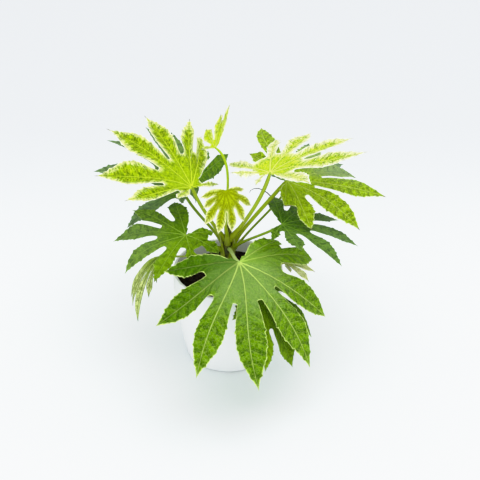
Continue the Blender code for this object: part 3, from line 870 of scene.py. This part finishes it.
def on_blade(leaf, lobe, along, aside, pleat, lift):
    """Points of the flat leaf, set on the arched blade. pleat is how far each point stands up
    with the fold at the midrib, and lift what is added to it along the blade's normal."""
    heading, left, up = leaf["axes"]
    angle = leaf["angles"][lobe] + np.degrees(np.arctan2(aside, along))
    reach = np.hypot(along, aside)
    bend = np.radians(between_lobes(leaf, angle, leaf["falls"] / leaf["lengths"]))
    bend = np.where(np.abs(bend) > 1e-6, bend, 1e-6)
    length = between_lobes(leaf, angle, leaf["lengths"])
    sway = between_lobes(leaf, angle, leaf["sways"])
    angle = np.radians(angle + sway * np.sin(pi * np.minimum(reach / length, 1)))
    rise = radians(RISE)
    slope = rise - bend * reach
    out = np.cos(angle)[:, None] * heading + np.sin(angle)[:, None] * left
    normal = np.cos(slope)[:, None] * up - np.sin(slope)[:, None] * out
    ahead = (sin(rise) - np.sin(slope)) / bend
    high = (np.cos(slope) - cos(rise)) / bend
    return (leaf["hub"] + ahead[:, None] * out + high[:, None] * up
            + (pleat + lift)[:, None] * normal)


def notch_lines(leaf):
    """Angle and reach of each notch: one before the first lobe, between lobes, after the last."""
    angles, lengths = leaf["angles"], leaf["lengths"]
    middle = [(0.5 * (angles[k] + angles[k + 1]), share * 0.5 * (lengths[k] + lengths[k + 1]))
              for k, share in enumerate(leaf["notch"])]
    return ([(angles[0] - BASE_GAP, BASE_REACH * lengths[0])] + middle
            + [(angles[-1] + BASE_GAP, BASE_REACH * lengths[-1])])


print("a midrib rises by", RISE, "degrees at the hub")

# %% [markdown]
# ## Half a lobe from a grid
# Each lobe has two halves that meet at its midrib. A half is one grid: its first rows fan out
# from the hub to the notch, the rest run from the notch to the tip, and its columns run from
# the midrib to the cut edge. The rows lean forward as the side veins do, so the toothed edge,
# the swelling between veins and the colours all follow the rows. The grid is added once, and
# every half lobe is a copy of it with its points moved.

# %% Shape of a half lobe
VEIN_LEAN = 0.24
WIDEST_AT = 0.48
NECK = 0.62
TOOTH = 2.1 * MM
EDGE_WAVE = 0.055
FAN_ROWS = 10
LOBE_ROWS = 46
ACROSS = np.array([0, 0.05, 0.14, 0.28, 0.44, 0.60, 0.76, 0.90, 1.0])
BLADE_THICKNESS = 0.45 * MM


def half_width(widest, notch_width, step, point):
    """Half width of a lobe at each step from its notch (0) to its tip (1)."""
    swell = NECK + (1 - NECK) * np.sin(0.5 * pi * np.minimum(step / WIDEST_AT, 1))
    taper = np.maximum(np.cos(0.5 * pi * (step - WIDEST_AT) / (1 - WIDEST_AT)), 0) ** point
    share = np.where(step < WIDEST_AT, swell, taper)
    return widest * share + (notch_width - NECK * widest) * np.exp(-step / 0.035)


def tooth(count, step, size):
    """The saw edge: it swells towards each tooth's point, then drops back ahead of it."""
    phase = count % 1.0
    saw = np.where(phase < 0.75, phase / 0.75, (1 - phase) / 0.25)
    strength = np.clip((step - 0.22) / 0.15, 0, 1) * np.clip((0.97 - step) / 0.10, 0, 1)
    uneven = 0.75 + 0.45 * np.sin(2.4 * np.floor(count) + 40 * size / MM)
    return size * saw * strength * uneven


def shape_half(leaf, lobe, side, row, column):
    """Places and markings of a half lobe's points, from their grid row and column."""
    length = leaf["lengths"][lobe]
    line_angle, line_reach = leaf["lines"][lobe + (side + 1) // 2]
    off = radians(abs(line_angle - leaf["angles"][lobe]))
    notch_along, notch_aside = line_reach * cos(off), line_reach * sin(off)
    start = VEIN_LEAN * length
    across = ACROSS[column]
    fan = np.minimum(row / FAN_ROWS, 1.0)
    step = np.clip((row - FAN_ROWS) / LOBE_ROWS, 0, 1) ** 1.2
    veins = max(round((1 - VEIN_LEAN) * length / leaf["vein_gap"]), 3)
    count = np.where(row < FAN_ROWS, (fan - 1) * 2.0, step * veins)
    width = half_width(leaf["width"][lobe] * length, notch_aside, step, leaf["point"])
    if leaf["teeth"]:
        width = width + tooth(2 * count + 0.12 * side, step, TOOTH)
    past = (length - notch_along) * step
    bay = np.minimum(past, leaf["bay"])
    bay = np.sqrt(np.maximum(leaf["bay"] ** 2 - (leaf["bay"] - bay) ** 2, 0))
    clear = (notch_along + past) * np.tan(off) - bay
    width = np.where(step >= 1, 0, np.maximum(np.minimum(width, clear), 0))
    rib_along = np.where(row < FAN_ROWS, fan * start, start + (length - start) * step)
    edge_along = np.where(row < FAN_ROWS, fan * notch_along,
                          notch_along + (length - notch_along) * step)
    edge_aside = np.where(row < FAN_ROWS, fan * notch_aside, width)
    along = rib_along + (edge_along - rib_along) * across ** 1.15
    aside = edge_aside * across
    soft = 0.8 * MM
    joined = np.exp(-step / 0.08)
    pleat = (np.hypot(aside, soft) - soft) * (1 - joined * across ** 2 / 3) * leaf["fold"]
    between = np.abs(np.sin(pi * (count % 1.0) ** 1.4)) ** 0.8
    outer = np.clip((fan - 0.4) / 0.6, 0, 1) * np.clip((1 - step) / 0.15, 0, 1)
    swell = leaf["pucker"] * between * np.sin(pi * across ** 0.8) * outer
    wave = np.sin(2 * pi * (1.6 * step + 0.37 * lobe + 0.5 * (side > 0)) + leaf["seed"])
    lift = swell + EDGE_WAVE * width * wave * across ** 2 * np.clip(step / 0.2, 0, 1)
    place = on_blade(leaf, lobe, along, side * aside, pleat, lift)
    row_length = np.hypot(edge_aside, edge_along - rib_along)
    ease = np.clip(step / 0.15, 0, 1)
    edge_gap = (1 - across) * (row_length * (1 - ease) + width * ease)
    to_notch = np.hypot(along - notch_along, aside - notch_aside)
    edge_gap = np.where(row < FAN_ROWS, to_notch, edge_gap)
    angle = leaf["angles"][lobe] + np.degrees(np.arctan2(side * aside, along))
    marks = {"along": np.hypot(along, aside) / length, "across": across, "vein_count": count,
             "rib_gap": aside / MM, "edge_gap": edge_gap / MM,
             "shady": between_lobes(leaf, angle, leaf["shady"]),
             "bloom": between_lobes(leaf, angle, leaf["bloom"])}
    return place, marks


rows = FAN_ROWS + LOBE_ROWS
deselect_all()
bpy.ops.mesh.primitive_grid_add(x_subdivisions=len(ACROSS) - 1, y_subdivisions=rows, size=2)
half_lobe = bpy.context.object
corner = np.array([point.co for point in half_lobe.data.vertices])
grid_column = np.rint((corner[:, 0] + 1) / 2 * (len(ACROSS) - 1)).astype(int)
grid_row = np.rint((corner[:, 1] + 1) / 2 * rows)
print("points in a half lobe:", len(corner))

# %% [markdown]
# ## Blades
# The half lobes of a leaf are joined, their shared points are merged, and the faces are turned
# so that the upper side looks up. Solidify then gives the sheet its thickness, with the paler
# underside as its second material.

# %% Join the half lobes of a leaf
def mark(piece, name, values):
    """Lays a number on each point of a piece, for its coat to read."""
    layer = piece.data.attributes.new(name, "FLOAT", "POINT")
    layer.data.foreach_set("value", np.asarray(values, np.float32))


def weld(distance, sliver=0):
    """Merges near points of the active piece, drops slivers, and turns its faces outward."""
    bpy.ops.object.mode_set(mode="EDIT")
    bpy.ops.mesh.select_all(action="SELECT")
    bpy.ops.mesh.remove_doubles(threshold=distance)
    if sliver:
        bpy.ops.mesh.dissolve_degenerate(threshold=sliver)
        bpy.ops.mesh.select_all(action="SELECT")
    bpy.ops.mesh.normals_make_consistent(inside=False)
    bpy.ops.object.mode_set(mode="OBJECT")


def thicken(sheet, thickness, underside=0):
    """Gives a sheet its thickness, with the material that many slots on below."""
    solid = sheet.modifiers.new("thickness", "SOLIDIFY")
    solid.thickness = thickness
    solid.offset = 0
    solid.material_offset = underside
    bpy.ops.object.modifier_apply(modifier="thickness")


def make_blade(leaf):
    leaf["axes"] = blade_axes(leaf)
    leaf["lines"] = notch_lines(leaf)
    leaf["seed"] = 1.7 * leaf["stalk"] / MM + 0.01 * leaf["turn"]
    halves = []
    for lobe in range(len(leaf["angles"])):
        for side in (-1, 1):
            place, marks = shape_half(leaf, lobe, side, grid_row, grid_column)
            half = copy_moved(half_lobe, place)
            for name, values in marks.items():
                mark(half, name, values)
            halves.append(half)
    select_only(*halves)
    bpy.ops.object.join()
    blade = bpy.context.object
    weld(0.02 * MM, sliver=0.005 * MM)
    upper = Vector(leaf["axes"][2])
    if sum(face.normal.dot(upper) * face.area for face in blade.data.polygons) < 0:
        bpy.ops.object.mode_set(mode="EDIT")
        bpy.ops.mesh.flip_normals()
        bpy.ops.object.mode_set(mode="OBJECT")
    thicken(blade, BLADE_THICKNESS, underside=1)
    wear(blade, SKINS[leaf["skin"]], UNDERSIDES[leaf["skin"]])
    return blade


# %% [markdown]
# ## Stalks
# A stalk is a curve with a round bevel. It starts inside the crown with a swollen foot that
# clasps the stem, rises steeply, and comes into the hub from below, where it thins to a small
# knuckle that all midribs spring from. One lobe of the lower right leaf has dried out at its
# tip to a thread that curls up, and the same kind of curve, much thinner, makes it.

# %% Bend a stalk
STALK_RISE = 55
STALK_STEPS = 22
STEM_CLEARANCE = 8
FOOT_LENGTH = 13
KNUCKLE_FROM = 0.88


def stalk_route(leaf):
    """Points along the stalk, from the stem's middle to just above the hub."""
    root = Vector((0, 0, leaf["root"]))
    hub = Vector(leaf["hub"])
    heading, up = Vector(leaf["axes"][0]), Vector(leaf["axes"][2])
    straight = (hub - root).normalized()
    level = Vector((hub.x, hub.y, 0)).normalized()
    leave = level * cos(radians(STALK_RISE)) + Vector((0, 0, sin(radians(STALK_RISE))))
    arrive = Vector(leaf["arrive"] or straight + 0.3 * heading + 0.5 * up).normalized()
    span = (hub - root).length
    handles = (root, root + leave * span * 0.3, hub - arrive * span * 0.3, hub)
    route = []
    for number in range(STALK_STEPS + 1):
        step = number / STALK_STEPS
        first = handles[0].lerp(handles[1], step)
        second = handles[1].lerp(handles[2], step)
        third = handles[2].lerp(handles[3], step)
        route.append(first.lerp(second, step).lerp(second.lerp(third, step), step))
    route.append(hub + up * 0.7 * MM)
    return route


def round_rod(route, radii, thickness, roundness):
    """A round rod along a route of points. The radii scale its thickness at each point."""
    deselect_all()
    bpy.ops.curve.primitive_nurbs_path_add()
    rod = bpy.context.object
    line = rod.data
    line.splines.clear()
    line.bevel_depth = thickness
    line.bevel_resolution = roundness
    line.use_fill_caps = True
    spline = line.splines.new("POLY")
    spline.points.add(len(route) - 1)
    for target, place, radius in zip(spline.points, route, radii):
        target.co = (*place, 1)
        target.radius = radius
    bpy.ops.object.convert(target="MESH")
    return bpy.context.object


def make_stalk(leaf):
    route = stalk_route(leaf)
    steps = np.arange(len(route)) / (len(route) - 1)
    radii = []
    for step, place in zip(steps, route):
        past_stem = max((place - route[0]).length / MM - STEM_CLEARANCE, 0)
        foot = leaf["clasp"] * exp(-(past_stem / FOOT_LENGTH) ** 2)
        knuckle = 0.45 * max(step - KNUCKLE_FROM, 0) / (1 - KNUCKLE_FROM)
        radii.append(0.95 + foot - knuckle)
    stalk = round_rod(route, radii, leaf["stalk"], 5)
    points = np.array([point.co for point in stalk.data.vertices])
    nearest = np.argmin(((points[:, None] - np.array(route)[None]) ** 2).sum(2), axis=1)
    mark(stalk, "along", steps[nearest])
    weld(0.01 * MM)
    wear(stalk, STALKS[leaf["skin"]])
    return stalk


DRY_CURL = [(0, 0), (-4, 4), (-9.5, 7.5), (-15, 9.2), (-20, 9.0), (-24, 7.0), (-25.5, 4.5)]
DRY_LEAF, DRY_LOBE = "leaf_right_lower", 6


def make_curl(leaf, lobe):
    """A dried, thread-like lobe tip that curls up and aside, as (aside, up) steps in mm."""
    reach = np.array([0.97 * leaf["lengths"][lobe]])
    zero = np.zeros(1)
    start = Vector(on_blade(leaf, lobe, reach, zero, zero, zero)[0])
    route = [start + Vector((aside, 0.35 * up, up)) * MM for aside, up in DRY_CURL]
    radii = [1.3 - number / len(DRY_CURL) for number in range(len(DRY_CURL))]
    curl = round_rod(route, radii, 0.55 * MM, 2)
    wear(curl, dry)
    return curl


for leaf in LEAVES:
    parts = [make_blade(leaf), make_stalk(leaf)]
    if leaf["name"] == DRY_LEAF:
        parts.append(make_curl(leaf, DRY_LOBE))
    select_only(*parts)
    bpy.ops.object.join()
    name = leaf["name"].replace("leaf_", "") + "_leaf"
    finish_piece(parts[0], name, leaf["name"], crease=60)
    triangles = sum(len(face.vertices) - 2 for face in parts[0].data.polygons)
    print(name, "triangles:", triangles)
bpy.data.objects.remove(half_lobe)

# %% [markdown]
# ## Stem and crown
# A short stem stands in the soil and ends in a bud between the stalks. It is pulled up as one
# ring, and small noise gives it lumps and ring scars. Pointed scales, the sheaths of old leaves,
# clasp its crown. Each is a small grid that is wrapped round the stem and drawn to a point, and
# Solidify gives it its thickness.

# %% Grow the stem
STEM_RADIUS = 6.5 * MM
STEM_BOTTOM = 70 * MM
CROWN_RADIUS = 8 * MM
CROWN_HEIGHT = 146 * MM
CROWN_TOP = 160 * MM
BUD_TIP = 180 * MM
SCAR_GAP = 7 * MM
SCAR_DEPTH = 0.35 * MM
STEM_LUMP = 0.5 * MM
STEM_RINGS = 70
STEM_SIDES = 40

profile = [(STEM_RADIUS * 0.5, STEM_BOTTOM), (STEM_RADIUS, STEM_BOTTOM + 1 * MM),
           (STEM_RADIUS, SOIL_TOP + 8 * MM), (CROWN_RADIUS, CROWN_HEIGHT - 14 * MM),
           (CROWN_RADIUS, CROWN_HEIGHT), (5.0 * MM, CROWN_TOP), (3.0 * MM, CROWN_TOP + 6 * MM),
           (1.5 * MM, BUD_TIP - 7 * MM), (0.3 * MM, BUD_TIP)]
heights = np.linspace(STEM_BOTTOM, BUD_TIP, STEM_RINGS)
radii = np.interp(heights, [height for _, height in profile], [radius for radius, _ in profile])
stem = pull_ring(list(zip(radii, heights)), STEM_SIDES)
for point in stem.data.vertices:
    if SOIL_TOP + 3 * MM < point.co.z < CROWN_TOP:
        scar = SCAR_DEPTH * max(sin(2 * pi * point.co.z / SCAR_GAP), 0) ** 4
        lump = STEM_LUMP * rough.noise(point.co * 120)
        outward = Vector((point.co.x, point.co.y, 0)).normalized()
        point.co += outward * (scar + lump - 0.3 * MM)
wear(stem, bark)
print("stem faces:", len(stem.data.polygons))

# %% Clasp it with scales
SCALE_THICKNESS = 0.8 * MM
SCALE_ROWS = 12


def sheath_scale(turn, foot, tip, radius, lean, width):
    """A pointed scale that hugs the crown at one side and leans out towards its tip, in mm."""
    deselect_all()
    bpy.ops.mesh.primitive_grid_add(x_subdivisions=6, y_subdivisions=SCALE_ROWS, size=2)
    scale = bpy.context.object
    corners = np.array([point.co for point in scale.data.vertices])
    mark(scale, "aside", abs(corners[:, 0]))
    mark(scale, "height", (corners[:, 1] + 1) / 2)
    for point in scale.data.vertices:
        aside, step = point.co.x, (point.co.y + 1) / 2
        reach = (radius + lean * step ** 2 - 0.35 * radius * max(step - 0.3, 0)) * MM
        spread = aside * width * MM * (1 - step ** 1.6) ** 0.8 / reach
        around = radians(turn) + spread
        point.co = (reach * cos(around), reach * sin(around), (foot + (tip - foot) * step) * MM)
    select_only(scale)
    weld(0.02 * MM)
    thicken(scale, SCALE_THICKNESS)
    wear(scale, sheath)
    return scale


SCALES = [(-100, 138, 177, 6.2, -1.0, 5.0), (60, 140, 175, 6.2, -1.0, 5.0),
          (196, 134, 167, 8.3, 3.0, 5.5), (-28, 136, 168, 8.2, 3.0, 5.0),
          (-138, 126, 156, 8.4, 2.5, 5.0), (-62, 124, 153, 8.4, 2.5, 5.0),
          (100, 132, 164, 8.3, 3.0, 5.5)]
select_only(stem, *[sheath_scale(*numbers) for numbers in SCALES])
bpy.ops.object.join()
finish_piece(stem, "stem_and_bud", "stem", crease=60)
print("scales on the crown:", len(SCALES))

# %% Clear the selection
deselect_all()
